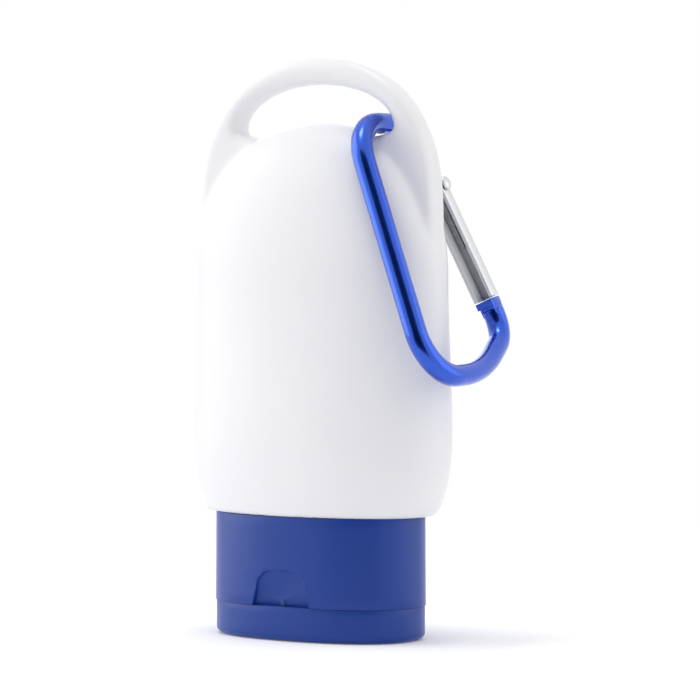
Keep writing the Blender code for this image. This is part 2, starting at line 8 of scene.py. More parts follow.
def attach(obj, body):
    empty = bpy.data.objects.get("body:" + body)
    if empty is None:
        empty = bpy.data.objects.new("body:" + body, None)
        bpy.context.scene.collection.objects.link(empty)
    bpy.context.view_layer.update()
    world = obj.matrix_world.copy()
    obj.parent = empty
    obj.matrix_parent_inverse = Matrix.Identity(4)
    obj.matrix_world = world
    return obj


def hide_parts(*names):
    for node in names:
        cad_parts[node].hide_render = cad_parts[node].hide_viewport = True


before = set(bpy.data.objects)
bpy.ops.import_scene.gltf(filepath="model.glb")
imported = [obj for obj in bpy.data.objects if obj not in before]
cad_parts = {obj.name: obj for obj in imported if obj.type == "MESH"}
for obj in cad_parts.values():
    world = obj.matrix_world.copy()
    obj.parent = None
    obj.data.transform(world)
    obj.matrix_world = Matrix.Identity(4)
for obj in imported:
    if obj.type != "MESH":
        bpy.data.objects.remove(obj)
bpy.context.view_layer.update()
print("frame loaded:", ", ".join(sorted(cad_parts)))

mm = 0.001
partGap = 0.3 * mm  # air between neighbouring pieces
overcut = 1 * mm  # how far a cutting shape reaches past the face it opens
quarterTurn = math.radians(90)


# Small tools for colours, nodes and meshes
def linear(hexColour):
    # From an sRGB hex value to linear RGBA
    parts = [int(hexColour[i:i + 2], 16) / 255 for i in (1, 3, 5)]
    return (*[c / 12.92 if c <= 0.04045 else ((c + 0.055) / 1.055) ** 2.4 for c in parts], 1.0)


def addNode(tree, kind, settings=None, links=None):
    # A number or a socket's name sets that socket, any other key sets the node itself
    node = tree.nodes.new(kind)
    for key, value in (settings or {}).items():
        if isinstance(key, int) or key in node.inputs:
            node.inputs[key].default_value = value
        else:
            setattr(node, key, value)
    for key, source in (links or {}).items():
        tree.links.new(source, node.inputs[key])
    return node


def startMaterial(name, settings):
    material = bpy.data.materials.new(name)
    material.use_nodes = True
    tree = material.node_tree
    shader = tree.nodes["Principled BSDF"]
    for key, value in settings.items():
        shader.inputs[key].default_value = value
    return material, tree, shader


def ovalPoints(halfWidth, halfDepth, power, count, z):
    # A superellipse; with power 2 it is a plain ellipse
    points = []
    for i in range(count):
        turn = 2 * math.pi * i / count
        c, s = math.cos(turn), math.sin(turn)
        points.append(Vector((halfWidth * math.copysign(abs(c) ** (2 / power), c),
                              halfDepth * math.copysign(abs(s) ** (2 / power), s), z)))
    return points


def ovalReach(halfWidth, halfDepth, power, turn):
    # From the middle of a superellipse to its edge, in one direction
    c, s = abs(math.cos(turn)) / halfWidth, abs(math.sin(turn)) / halfDepth
    return (c ** power + s ** power) ** (-1 / power)


def roundedTop(half, top, radius, steps, sides=(1, -1)):
    # The two upper corners of a flat outline, from one side to the other
    points = []
    for side in sides:
        for k in range(steps + 1):
            turn = quarterTurn * (k / steps if side == sides[0] else 1 - k / steps)
            points.append((side * (half - radius + radius * math.cos(turn)),
                           top - radius + radius * math.sin(turn)))
    return points


def halfRound(radius, first, steps):
    # Half a circle, starting at so many half turns
    turns = [math.pi * (first + k / steps) for k in range(steps + 1)]
    return [(radius * math.cos(turn), radius * math.sin(turn)) for turn in turns]


def skin(bm, sections, closeFirst=True, closeLast=True):
    rings = [[bm.verts.new(p) for p in section] for section in sections]
    for low, high in zip(rings, rings[1:]):
        for i in range(len(low)):
            j = (i + 1) % len(low)
            bm.faces.new((low[i], low[j], high[j], high[i]))
    if closeFirst:
        bm.faces.new(rings[0][::-1])
    if closeLast:
        bm.faces.new(rings[-1])
    return rings


def stack(sections):
    bm = bmesh.new()
    skin(bm, sections)
    return bm


def lathe(profile, count=64, axis="Z"):
    bm = stack([ovalPoints(r, r, 2, count, z) for r, z in profile])
    if axis == "X":
        bmesh.ops.rotate(bm, verts=bm.verts, matrix=Matrix.Rotation(quarterTurn, 3, "Y"))
    return bm


def pipe(outer, inner, low, high, rimRound, count=96):
    # Tube with a small round on both rims
    side = [(outer, low + rimRound), (outer - rimRound, low),
            (inner + rimRound, low), (inner, low + rimRound),
            (inner, high - rimRound), (inner + rimRound, high),
            (outer - rimRound, high), (outer, high - rimRound)]
    bm = bmesh.new()
    rings = skin(bm, [ovalPoints(r, r, 2, count, z) for r, z in side], False, False)
    for i in range(count):
        j = (i + 1) % count
        bm.faces.new((rings[-1][i], rings[-1][j], rings[0][j], rings[0][i]))
    return bm


def block(low, high):
    corners = [(low[0], low[1]), (high[0], low[1]), (high[0], high[1]), (low[0], high[1])]
    return stack([[Vector((x, y, z)) for x, y in corners] for z in (low[2], high[2])])


def extrudeX(outline, halfWidth):
    return stack([[Vector((x, y, z)) for y, z in outline] for x in (-halfWidth, halfWidth)])


def makeObject(name, bm, place=None):
    bmesh.ops.recalc_face_normals(bm, faces=bm.faces)
    mesh = bpy.data.meshes.new(name)
    bm.to_mesh(mesh)
    bm.free()
    piece = bpy.data.objects.new(name, mesh)
    bpy.context.scene.collection.objects.link(piece)
    if place:
        piece.matrix_world = place
    return piece


def applyModifiers(piece):
    bpy.context.view_layer.update()
    graph = bpy.context.evaluated_depsgraph_get()
    mesh = bpy.data.meshes.new_from_object(piece.evaluated_get(graph))
    piece.modifiers.clear()
    piece.data = mesh


def join(piece, tool, operation="UNION"):
    # One boolean step, applied at once; the tool goes
    modifier = piece.modifiers.new("join", "BOOLEAN")
    modifier.object = tool
    modifier.operation = operation
    applyModifiers(piece)
    bpy.data.objects.remove(tool)


def softenEdges(piece, width, angle, sliver=0.004 * mm):
    # Moulded or broken edges
    modifier = piece.modifiers.new("edges", "BEVEL")
    modifier.width = width
    modifier.segments = 2
    modifier.limit_method = "ANGLE"
    modifier.angle_limit = math.radians(angle)
    modifier.miter_outer = "MITER_ARC"
    applyModifiers(piece)
    # Slivers are left where two rounds meet, so they are closed
    bm = bmesh.new()
    bm.from_mesh(piece.data)
    bmesh.ops.dissolve_degenerate(bm, dist=sliver, edges=bm.edges)
    bm.to_mesh(piece.data)
    bm.free()


def dress(piece, material, body, nodes, sharp=30):
    # Gives a piece its finish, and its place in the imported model
    piece.data.materials.clear()
    piece.data.materials.append(material)
    for face in piece.data.polygons:
        face.material_index = 0
    piece.data.shade_smooth()
    piece.data.set_sharp_from_angle(angle=math.radians(sharp))
    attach(piece, body)
    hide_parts(*nodes)


# What the materials share
noiseLow, noiseHigh = 0.3, 0.7  # most of a noise's values lie between these
mixFactor, mixA, mixB, mixResult = 0, 6, 7, 2  # a Mix node's sockets when it mixes colours


def varyGloss(tree, shader, pattern, rough):
    # The surface's own pattern makes its gloss a little uneven
    gloss = addNode(tree, "ShaderNodeMapRange", {
        "From Min": noiseLow, "From Max": noiseHigh, "To Min": rough[0], "To Max": rough[1]},
        {"Value": pattern})
    tree.links.new(gloss.outputs["Result"], shader.inputs["Roughness"])


def tintPlastic(tree, shader, coords, look):
    # Pigment that isn't quite even, as resin has where it flowed
    flow = addNode(tree, "ShaderNodeTexNoise", {"Scale": 1 / look["flow"], "Detail": 3.0},
                   {"Vector": coords})
    tint = addNode(tree, "ShaderNodeMix", {
        "data_type": "RGBA", mixA: linear(look["hex"]), mixB: linear(look["deepHex"])},
        {mixFactor: flow.outputs["Fac"]})
    tree.links.new(tint.outputs[mixResult], shader.inputs["Base Color"])


def makeMetal(name, look):
    # Drawn or rolled metal: fine lines along one direction, which blur the gloss a little.
    # Real lines are a few hundredths of a millimetre wide; these are wider so that they show
    material, tree, shader = startMaterial(name, {
        "Base Color": linear(look["hex"]), "Metallic": 1.0, **look["coat"]})
    width, length = look["line"]
    # A rod has UVs across and along it, any other piece has its length on its own Z
    scale = {"UV": (1 / width, 1 / length, 1.0), "Object": (1 / width, 1 / width, 1 / length)}
    source = addNode(tree, "ShaderNodeTexCoord").outputs[look["coords"]]
    stretch = addNode(tree, "ShaderNodeMapping", {"Scale": scale[look["coords"]]},
                      {"Vector": source})
    lines = addNode(tree, "ShaderNodeTexNoise", {"Scale": 1.0, "Detail": 3.0},
                    {"Vector": stretch.outputs["Vector"]})
    varyGloss(tree, shader, lines.outputs["Fac"], look["rough"])
    bump = addNode(tree, "ShaderNodeBump", look["lineBump"], {"Height": lines.outputs["Fac"]})
    tree.links.new(bump.outputs["Normal"], shader.inputs["Normal"])
    return material


# Blow-moulded white polyethylene: milky and satin, with a faint orange peel where it cooled
# against the mould, and a thin ridge down its sides where the mould's halves met
polyethyleneLook = {
    "hex": "#EFEFF1", "deepHex": "#E9E9ED", "flow": 16 * mm, "rough": (0.33, 0.42),
    "shader": {"IOR": 1.51, "Subsurface Weight": 0.12, "Subsurface Radius": (1.0, 0.9, 0.8),
               "Subsurface Scale": 1.2 * mm},
    "peel": 1.4 * mm, "peelBump": {"Strength": 0.35, "Distance": 0.03 * mm},
    "grain": 0.35 * mm,  # really about 0.1 mm, coarser so that it shows
    "grainBump": {"Strength": 0.3, "Distance": 0.01 * mm},
    "ridgeHalf": 0.13 * mm, "ridgeBump": {"Strength": 0.5, "Distance": 0.05 * mm},
}


def makePolyethylene():
    s = polyethyleneLook
    material, tree, shader = startMaterial("blowMouldedPolyethylene", s["shader"])
    coords = addNode(tree, "ShaderNodeTexCoord").outputs["Object"]
    tintPlastic(tree, shader, coords, s)
    peel = addNode(tree, "ShaderNodeTexNoise", {"Scale": 1 / s["peel"], "Detail": 1.0},
                   {"Vector": coords})
    grain = addNode(tree, "ShaderNodeTexNoise", {"Scale": 1 / s["grain"], "Detail": 2.0},
                    {"Vector": coords})
    varyGloss(tree, shader, grain.outputs["Fac"], s["rough"])
    # The ridge lies where the mould's halves meet, at y = 0
    split = addNode(tree, "ShaderNodeSeparateXYZ", links={"Vector": coords})
    away = addNode(tree, "ShaderNodeMath", {"operation": "ABSOLUTE"}, {0: split.outputs["Y"]})
    ridge = addNode(tree, "ShaderNodeMapRange", {
        "From Min": 0.0, "From Max": s["ridgeHalf"], "To Min": 1.0, "To Max": 0.0},
        {"Value": away.outputs["Value"]})
    bump = addNode(tree, "ShaderNodeBump", s["peelBump"], {"Height": peel.outputs["Fac"]})
    bump = addNode(tree, "ShaderNodeBump", s["grainBump"],
                   {"Height": grain.outputs["Fac"], "Normal": bump.outputs["Normal"]})
    bump = addNode(tree, "ShaderNodeBump", s["ridgeBump"],
                   {"Height": ridge.outputs["Result"], "Normal": bump.outputs["Normal"]})
    tree.links.new(bump.outputs["Normal"], shader.inputs["Normal"])
    return material


# Injection-moulded blue polypropylene: satin from a fine spark-eroded mould, and a little waxy,
# so that it goes paler and bluer at grazing angles
polypropyleneLook = {
    "hex": "#0B3A94", "deepHex": "#0A368A", "flow": 9 * mm, "rough": (0.31, 0.41),
    "shader": {"IOR": 1.49, "Subsurface Weight": 0.03, "Subsurface Scale": 0.5 * mm,
               "Specular IOR Level": 0.4, "Sheen Weight": 0.6, "Sheen Roughness": 0.3,
               "Sheen Tint": linear("#9DB4FF")},
    "grain": 0.25 * mm,  # really about 0.08 mm, coarser so that it shows
    "grainBump": {"Strength": 0.35, "Distance": 0.02 * mm},
}


def makePolypropylene():
    s = polypropyleneLook
    material, tree, shader = startMaterial("sparkErodedPolypropylene", s["shader"])
    coords = addNode(tree, "ShaderNodeTexCoord").outputs["Object"]
    tintPlastic(tree, shader, coords, s)
    grain = addNode(tree, "ShaderNodeTexNoise", {"Scale": 1 / s["grain"], "Detail": 2.0},
                    {"Vector": coords})
    varyGloss(tree, shader, grain.outputs["Fac"], s["rough"])
    bump = addNode(tree, "ShaderNodeBump", s["grainBump"], {"Height": grain.outputs["Fac"]})
    tree.links.new(bump.outputs["Normal"], shader.inputs["Normal"])
    return material


polyethylene = makePolyethylene()
polypropylene = makePolypropylene()
print("plastics made")


# The bottle, from its flat lower edge up, with the neck that goes into the cap
bottle = {
    "baseZ": 22.3 * mm, "widestZ": 37 * mm, "shoulderZ": 65 * mm, "domeZ": 93.1 * mm,
    "topZ": 105 * mm, "widest": (27 * mm, 13.8 * mm), "shoulder": (26.3 * mm, 12.8 * mm),
    "ovalPower": 2.1, "domePower": (2.3, 2),  # seen from the front and from the side
    "edgeRise": 15 * mm, "edgeInset": (5.2 * mm, 0.9 * mm), "wall": 1.1 * mm,
    "loopHalfDepth": 2.75 * mm, "loopRound": 2.2 * mm,
    "loopRoundMost": 0.98,  # of the bar's half width, where the bar is thin
    "loopHalfWidth": 25.8 * mm, "loopSpringZ": 74 * mm, "loopPower": 2.78,
    "loopFootZ": 66 * mm, "loopFootTurn": 50,
    "openHalfWidth": 16.9 * mm, "openZ": 91.8 * mm, "openRise": 8 * mm, "openDrop": 2.2 * mm,
    "neckR": 8.3 * mm, "neckWall": 1 * mm, "neckLowZ": 7.9 * mm, "boreReach": 3 * mm,
    "lipRound": 0.5 * mm, "lipFlat": 0.3 * mm, "bead": 0.4 * mm, "beadZ": (17.2 * mm, 19.2 * mm),
    "sides": 120, "fineness": 18, "insideSides": 64, "insideFineness": 8, "neckSides": 96,
    "blendVoxel": 0.42 * mm, "blendFactor": 0.5, "blendSteps": 12, "sharp": 40,
}


def bodySections(inset, count, fineness):
    # Ovals over the rounded lower edge, up to the shoulder and over the dome
    s = bottle
    levels = []
    edgeTurn = math.asin((s["widestZ"] - s["baseZ"] - inset) / s["edgeRise"])
    for k in range(2 * fineness):
        turn = edgeTurn * (1 - k / (2 * fineness))
        drop = 1 - math.cos(turn)
        levels.append((s["widestZ"] - s["edgeRise"] * math.sin(turn),
                       *[w - e * drop - inset for w, e in zip(s["widest"], s["edgeInset"])]))
    for k in range(fineness):
        t = k / fineness
        mix = (1 - math.cos(math.pi * t)) / 2
        levels.append((s["widestZ"] + (s["shoulderZ"] - s["widestZ"]) * t,
                       *[w + (h - w) * mix - inset for w, h in zip(s["widest"], s["shoulder"])]))
    for k in range(2 * fineness):
        rise = math.sin(quarterTurn * k / (2 * fineness))
        levels.append((s["shoulderZ"] + (s["domeZ"] - inset - s["shoulderZ"]) * rise,
                       *[(h - inset) * math.sqrt(1 - rise ** power)
                         for h, power in zip(s["shoulder"], s["domePower"])]))
    return [ovalPoints(a, b, s["ovalPower"], count, z) for z, a, b in levels]


def bodyShape(inset, count, fineness):
    bm = bmesh.new()
    rings = skin(bm, bodySections(inset, count, fineness), closeLast=False)
    tip = bm.verts.new((0, 0, bottle["domeZ"] - inset))
    for i in range(count):
        bm.faces.new((rings[-1][i], rings[-1][(i + 1) % count], tip))
    return bm


def loopEdges(arcSteps=48, footSteps=20):
    # Pairs of points, on the edge of the opening and on the loop's outline, from foot to foot
    s = bottle
    foot = -math.radians(s["loopFootTurn"])
    turns = [foot * (1 - k / footSteps) for k in range(footSteps)]
    turns += [quarterTurn * k / arcSteps for k in range(arcSteps + 1)]
    pairs = []
    for turn in turns:
        up = math.sin(turn)
        if up > 0:
            innerZ = s["openZ"] + s["openRise"] * up
            outerZ = s["openZ"] + (s["topZ"] - s["openZ"]) * up
        else:
            innerZ = s["openZ"] + s["openDrop"] * up
            outerZ = s["openZ"] - (s["openZ"] - s["loopFootZ"]) * up / math.sin(foot)
        rise = max(0, (outerZ - s["loopSpringZ"]) / (s["topZ"] - s["loopSpringZ"]))
        outerX = s["loopHalfWidth"] * math.sqrt(max(0, 1 - rise ** s["loopPower"]))
        pairs.append((Vector((s["openHalfWidth"] * math.cos(turn), 0, innerZ)),
                      Vector((outerX, 0, outerZ))))
    mirror = Matrix.Diagonal((-1, 1, 1))
    return pairs + [(mirror @ inner, mirror @ outer) for inner, outer in reversed(pairs[:-1])]


def loopShape(cornerSteps=8):
    # A rounded bar that fills the space between the two edges
    s = bottle
    sections = []
    for inner, outer in loopEdges():
        reach = (outer - inner).length / 2
        across = (outer - inner).normalized()
        r = min(s["loopRound"], reach * s["loopRoundMost"])
        section = []
        for quarter, (sx, sy) in enumerate(((1, 1), (-1, 1), (-1, -1), (1, -1))):
            for k in range(cornerSteps + 1):
                turn = quarterTurn * (quarter + k / cornerSteps)
                u = sx * (reach - r) + r * math.cos(turn)
                v = sy * (s["loopHalfDepth"] - r) + r * math.sin(turn)
                section.append((inner + outer) / 2 + across * u + Vector((0, v, 0)))
        sections.append(section)
    return stack(sections)


def neckShape():
    # A rounded lip at the mouth, then the bead that snaps into the cap
    s = bottle
    r, low, lip, bead = s["neckR"], s["neckLowZ"], s["lipRound"], s["bead"]
    onRound = 0.3 * lip  # a point of the lip's round, in from its two faces
    beadLow, beadHigh = s["beadZ"]
    return lathe([(r - s["neckWall"] + s["lipFlat"], low), (r - lip, low),
                  (r - onRound, low + onRound), (r, low + lip),
                  (r, beadLow), (r + bead, beadLow + bead), (r + bead, beadHigh - bead),
                  (r, beadHigh), (r, s["baseZ"] + s["wall"] / 2)], s["neckSides"])


def makeBottle():
    s = bottle
    piece = makeObject("bottleSkin", bodyShape(0, s["sides"], s["fineness"]))
    join(piece, makeObject("loop", loopShape()))
    # The loop and the dome flow into each other, as a blown parison does
    remesh = piece.modifiers.new("blend", "REMESH")
    remesh.mode = "VOXEL"
    remesh.voxel_size = s["blendVoxel"]
    smooth = piece.modifiers.new("flow", "SMOOTH")
    smooth.factor = s["blendFactor"]
    smooth.iterations = s["blendSteps"]
    applyModifiers(piece)
    join(piece, makeObject("neck", neckShape()))
    inside = bodyShape(s["wall"], s["insideSides"], s["insideFineness"])
    join(piece, makeObject("inside", inside), "DIFFERENCE")
    boreR = s["neckR"] - s["neckWall"]
    bore = lathe([(boreR, s["neckLowZ"] - overcut), (boreR, s["baseZ"] + s["boreReach"])],
                 s["neckSides"])
    join(piece, makeObject("bore", bore), "DIFFERENCE")
    dress(piece, polyethylene, "bottle", ["bottle"], s["sharp"])


makeBottle()
print("bottle made")


# The flip-top cap, standing on its lid
cap = {
    "half": (20.8 * mm, 12.7 * mm), "power": 2.3, "wall": 1.3 * mm, "draft": 0.1 * mm,
    "partZ": 6.1 * mm, "topZ": 22.25 * mm, "deck": 1.5 * mm, "deckStep": 1.1 * mm,
    "skirtR": (10.2 * mm, 9.0 * mm), "skirtLong": 11.5 * mm,
    "sealR": (7 * mm, 6 * mm), "sealLong": 4 * mm, "rimRound": 0.15 * mm,
    "ribAngles": (0, 30, 150, 180, 210, 330), "rib": (1 * mm, 9.5 * mm),  # thickness, height
    "spoutR": 2.9 * mm, "spoutLong": 1.6 * mm, "spoutChamfer": 0.3 * mm, "orificeR": 1.5 * mm,
    "edge": 0.14 * mm, "edgeAngle": 35, "sides": 144,
}
notch = {
    "wide": (13.2 * mm, 10.8 * mm), "deep": (1.5 * mm, 0.5 * mm),  # at the parting line, at the top
    "tall": 6.5 * mm, "round": 3.4 * mm, "past": 2 * mm,
    "steps": ((0.0, 1.0), (0.6, 0.985), (0.9, 0.955), (1.0, 0.9)),  # share of depth, of width
    "backing": (7.4 * mm, 0.6 * mm, 8.2 * mm),  # half width, lap into the skirt, height
    "catch": (0.35 * mm, 0.4 * mm, 1.2 * mm),  # half width, half depth, height
}
lid = {
    "topZ": cap["partZ"] - 0.05 * mm,  # finer than the running gap, as the photographed seam is
    "inset": 0.15 * mm, "wall": 1.2 * mm, "floor": 1.3 * mm, "round": 1.2 * mm,
    "ringWall": 0.8 * mm, "ringRound": 0.12 * mm, "pinR": 1.15 * mm, "edgeAngle": 40,
    "pinTip": ((1.0, 0.6 * mm), (0.85, 0.2 * mm), (0.5, 0.0)),  # share of radius, below the tip
}
hinge = {
    "half": (6 * mm, 3 * mm), "thick": 0.5 * mm, "film": 0.25 * mm, "bend": 0.6 * mm,
    "chamfer": 0.08 * mm, "pocketDeep": 0.8 * mm,
}
hingeAt = Vector((0, cap["half"][1] - hinge["thick"] / 2, cap["partZ"] - partGap / 2))
deckTop, deckFace = cap["partZ"] + cap["deck"], cap["partZ"] - cap["deckStep"]
inDeck = cap["partZ"] + cap["deck"] / 2  # pieces that stand on the deck start inside it


def capSection(inset, z):
    halfWidth, halfDepth = cap["half"]
    return ovalPoints(halfWidth - inset, halfDepth - inset, cap["power"], cap["sides"], z)


def hingePocket():
    # Room for the hinge's pads, cut into both the base and the lid
    half, tall = hinge["half"]
    y = cap["half"][1]
    return block((-half - partGap, y - hinge["pocketDeep"], hingeAt.z - tall - partGap),
                 (half + partGap, y + overcut, hingeAt.z + tall + partGap))


def notchShape():
    # A thumb scoop: full size at the wall, smaller and deeper at its back
    s = notch
    wall = -cap["half"][1]
    low, top = cap["partZ"] - s["past"], cap["partZ"] + s["tall"]
    lowWide, topWide = s["wide"]
    lowDeep, topDeep = s["deep"]
    halfLow = lowWide / 2 + (lowWide - topWide) / 2 / s["tall"] * s["past"]
    outline = [(-halfLow, low), (halfLow, low)]
    outline += roundedTop(topWide / 2, top, s["round"], steps=12)
    sections = [[Vector((x, wall - s["past"], z)) for x, z in outline]]
    for share, shrink in s["steps"]:
        section = []
        for x, z in outline:
            z = low + (z - low) * (1 + shrink) / 2  # half as much shrink in height
            up = max(0, (z - cap["partZ"]) / s["tall"])
            deep = (lowDeep + (topDeep - lowDeep) * up) * share
            section.append(Vector((x * shrink, wall + deep, z)))
        sections.append(section)
    return stack(sections)


def addSkirtAndRibs(piece):
    # The skirt holds the neck, the seal plugs it, and ribs brace the skirt against the wall
    s = cap
    skirtOuter, skirtInner = s["skirtR"]
    skirt = pipe(skirtOuter, skirtInner, inDeck, deckTop + s["skirtLong"], s["rimRound"])
    join(piece, makeObject("skirt", skirt))
    seal = pipe(*s["sealR"], inDeck, deckTop + s["sealLong"], s["rimRound"])
    join(piece, makeObject("seal", seal))
    inWall = [half - s["wall"] / 2 for half in s["half"]]
    ribThick, ribTall = s["rib"]
    for angle in s["ribAngles"]:
        turn = math.radians(angle)
        rib = block((skirtOuter - s["wall"] / 2, -ribThick / 2, inDeck),
                    (ovalReach(*inWall, s["power"], turn), ribThick / 2, deckTop + ribTall))
        join(piece, makeObject("rib", rib, Matrix.Rotation(turn, 4, "Z")))


def addNotch(piece):
    # The scoop is backed by solid plastic, and has the catch that holds the lid
    s = notch
    half, lap, tall = s["backing"]
    backing = block((-half, -cap["half"][1] + cap["wall"] / 2, inDeck),
                    (half, -cap["skirtR"][0] + lap, deckTop + tall))
    join(piece, makeObject("backing", backing))
    join(piece, makeObject("notch", notchShape()), "DIFFERENCE")
    back = -cap["half"][1] + s["deep"][0]
    half, halfDeep, tall = s["catch"]
    catch = block((-half, back - halfDeep, cap["partZ"]),
                  (half, back + halfDeep, cap["partZ"] + tall))
    join(piece, makeObject("catch", catch))


def addSpout(piece):
    s = cap
    tip = deckFace - s["spoutLong"]
    spout = lathe([(s["spoutR"] - s["spoutChamfer"], tip),
                   (s["spoutR"], tip + s["spoutChamfer"]), (s["spoutR"], inDeck)])
    join(piece, makeObject("spout", spout))
    orifice = lathe([(s["orificeR"], tip - overcut), (s["orificeR"], deckTop + overcut)])
    join(piece, makeObject("orifice", orifice), "DIFFERENCE")


def makeCapBase(wallSteps=9):
    s = cap
    tall = s["topZ"] - s["partZ"]
    shell = [capSection(s["draft"] * k / wallSteps, s["partZ"] + tall * k / wallSteps)
             for k in range(wallSteps + 1)]
    piece = makeObject("capBaseShell", stack(shell))
    inside = stack([capSection(s["wall"], z) for z in (deckTop, s["topZ"] + overcut)])
    join(piece, makeObject("inside", inside), "DIFFERENCE")
    step = stack([capSection(s["wall"] + partGap, z) for z in (deckFace, inDeck)])
    join(piece, makeObject("step", step))
    addSkirtAndRibs(piece)
    addNotch(piece)
    addSpout(piece)
    join(piece, makeObject("pocket", hingePocket()), "DIFFERENCE")
    softenEdges(piece, s["edge"], s["edgeAngle"])
    dress(piece, polypropylene, "cap", ["cap_base"])


def makeCapLid(roundSteps=8, wallSteps=4):
    s = lid
    sections = []
    for k in range(roundSteps + 1):
        turn = quarterTurn * k / roundSteps
        sections.append(capSection(s["inset"] + s["round"] * (1 - math.sin(turn)),
                                   s["round"] * (1 - math.cos(turn))))
    sections += [capSection(s["inset"], s["round"] + (s["topZ"] - s["round"]) * k / wallSteps)
                 for k in range(1, wallSteps + 1)]
    piece = makeObject("capLidShell", stack(sections))
    inside = stack([capSection(s["inset"] + s["wall"], z)
                    for z in (s["floor"], s["topZ"] + overcut)])
    join(piece, makeObject("inside", inside), "DIFFERENCE")
    # A ring round the spout and a pin in its orifice seal the closed cap
    top = deckFace - partGap
    inner = cap["spoutR"] + partGap
    sealRing = pipe(inner + s["ringWall"], inner, s["floor"] / 2, top, s["ringRound"])
    join(piece, makeObject("ring", sealRing))
    pin = lathe([(s["pinR"], s["floor"] / 2)]
                + [(s["pinR"] * share, top - below) for share, below in s["pinTip"]])
    join(piece, makeObject("pin", pin))
    join(piece, makeObject("pocket", hingePocket()), "DIFFERENCE")
    softenEdges(piece, cap["edge"], s["edgeAngle"])
    dress(piece, polypropylene, "lid", ["cap_lid"])


def makeFilmHinge(bendSteps=6):
    # Two pads joined by a film that thins to the fold
    s = hinge
    half, tall = s["half"]
    thick, film, chamfer = s["thick"] / 2, s["film"] / 2, s["chamfer"]
    side = [(thick - chamfer, -tall), (thick, -tall + chamfer)]
    for k in range(-bendSteps, bendSteps + 1):
        thicker = (1 - math.cos(math.pi * k / bendSteps)) / 2
        side.append((film + (thick - film) * thicker, s["bend"] * k / bendSteps))
    side += [(thick, tall - chamfer), (thick - chamfer, tall)]
    side += [(-y, z) for y, z in reversed(side)]
    piece = makeObject("hingeFilm", extrudeX(side, half), Matrix.Translation(hingeAt))
    dress(piece, polypropylene, "cap", ["lid_hinge"])


makeCapBase()
makeCapLid()
makeFilmHinge()
print("cap made")


# The carabiner's rod, with its hinge end at the gate's pin and its nose below the gate
ring = {
    "rodR": 2 * mm, "rodChamfer": 0.25 * mm, "top": 17.2 * mm,
    "spineFlare": 6.1, "gateFlare": 9.0, "baseSlope": 1.5, "toeSlope": 31.7,
    "toeStraight": 3 * mm, "noseStraight": 0.7 * mm,
    # Gate top, spine top, spine base, toe and nose
    "bends": (7.2 * mm, 8.8 * mm, 7.7 * mm, 24 * mm, 6.3 * mm),
    "hang": (12.9 * mm, 0.35 * mm), "lean": 23.7, "pinDrop": 12.6 * mm,
    "tab": (2.2 * mm, 2.7 * mm, 2.6 * mm),  # thickness, depth and height above the pin
    "neck": (3 * mm, 3 * mm, 0.6 * mm), "head": (3.4 * mm, 3.3 * mm, 1.2 * mm),
    "lug": 0.6 * mm, "edge": 0.12 * mm, "edgeAngle": 32,
    "sides": 40, "bendSteps": 22, "straightStep": 2 * mm,
}
gate = {
    "wide": 4.0 * mm, "deep": 2.9 * mm, "long": 22.1 * mm, "sheet": 0.6 * mm,
    "round": 0.7 * mm, "innerRound": 0.25 * mm, "webBelow": 2.1 * mm,
    "edge": 0.1 * mm, "edgeAngle": 40,
    "pinR": 0.7 * mm, "headR": 1.3 * mm, "headTall": 0.6 * mm, "headEdge": (0.05 * mm, 0.06 * mm),
    "wireR": 0.3 * mm, "wireChamfer": 0.08 * mm, "springLong": 10.5 * mm,
    "holeSides": 40, "rivetSides": 48, "wireSides": 20,
}

gateTilt = math.radians(ring["gateFlare"])
hangX, hangY = ring["hang"]
floorZ = bottle["openZ"] - bottle["openDrop"] * math.sqrt(
    1 - (hangX / bottle["openHalfWidth"]) ** 2)  # of the loop's opening, where the rod hangs
ringPlace = (Matrix.Translation((hangX, hangY, floorZ + partGap + ring["rodR"]))
             @ Matrix.Rotation(-math.radians(ring["lean"]), 4, "Y"))
pinAt = Vector((0, ring["top"] / 2 + ring["pinDrop"] * math.tan(gateTilt), -ring["pinDrop"]))
gateInRing = Matrix.Translation(pinAt) @ Matrix.Rotation(gateTilt, 4, "X")
gatePlace = ringPlace @ gateInRing
noseShoulder = gate["long"] + partGap + ring["head"][2] + ring["neck"][2]

# Anodised aluminium, drawn and dyed blue under a clear sealed oxide: highlights run along the
# rod and go pale at their middle
anodisedLook = {
    "hex": "#1D50C8", "rough": (0.24, 0.32), "line": (0.12 * mm, 6 * mm), "coords": "UV",
    "lineBump": {"Strength": 0.3, "Distance": 0.01 * mm},
    "coat": {"Coat Weight": 0.65, "Coat Roughness": 0.09, "Coat IOR": 1.6},
}
# Rolled aluminium sheet: pale and bright, with faint rolling lines along the gate
sheetLook = {
    "hex": "#D4D5D7", "rough": (0.36, 0.48), "line": (0.12 * mm, 5 * mm), "coords": "Object",
    "lineBump": {"Strength": 0.3, "Distance": 0.012 * mm}, "coat": {},
    # Inside the folded gate, as distances from the inner faces of its walls and of its web
    # The web's grey is painted shade, and the walls' near white is painted light
    "webShadeHex": "#A0A0A5", "wallLightHex": "#F8F8F8", "wallMetallic": 0.15,
    "betweenWalls": (-0.01 * mm, 0.0), "atWalls": (0.02 * mm, 0.04 * mm),
    "nearWeb": (-0.3 * mm, -0.05 * mm), "pastWeb": (0.15 * mm, 0.25 * mm),
}
# Drawn spring steel wire: darker and harder
wireLook = {
    "hex": "#9B9CA0", "rough": (0.25, 0.35), "line": (0.08 * mm, 2 * mm), "coords": "Object",
    "lineBump": {"Strength": 0.3, "Distance": 0.01 * mm}, "coat": {},
}


